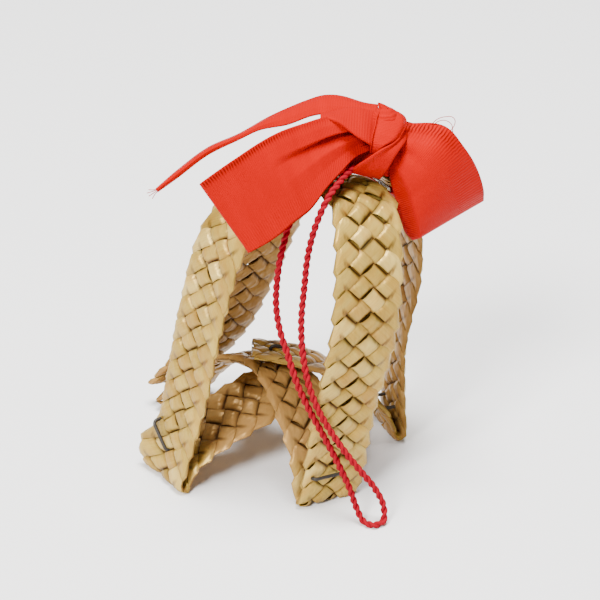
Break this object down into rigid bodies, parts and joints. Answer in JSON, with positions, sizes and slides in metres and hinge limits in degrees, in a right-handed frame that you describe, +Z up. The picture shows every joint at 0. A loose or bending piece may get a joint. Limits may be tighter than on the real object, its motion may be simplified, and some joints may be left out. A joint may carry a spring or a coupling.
{
  "type": "straw ornament",
  "caption": "Small bell-shaped hanging ornament of two crossing plaited straw bands on four feet, with a ribbon bow on its crown and a cord loop",
  "frame": {"origin": "middle of the ornament's box without its cord, on the surface that its feet stand on", "axes": "+Z up through the crown, +X to the ornament's right as it is seen with the knot and the cord in front, -Y towards the cord's free end"},
  "size_m": [0.0863, 0.0676, 0.0976],
  "materials": {
    "straw": "five-strand plait of flat dried palm straw, semi-matt with lengthwise fibres",
    "ribbon": "orange-red taffeta ribbon with fine weft ribs, soft sheen",
    "cord": "red two-ply twisted cord, matt",
    "wire": "dark thin tie wire, dull"
  },
  "bodies": {
    "root": {"straw_plait_a": "straw", "straw_plait_b": "straw", "ribbon_bow": "ribbon", "hanging_cord": "cord", "tie_wire_front_left": "wire", "tie_wire_front_right": "wire", "tie_wire_back_right": "wire", "tie_wire_back_left": "wire", "tie_wire_hub": "wire"}
  },
  "joints": []
}
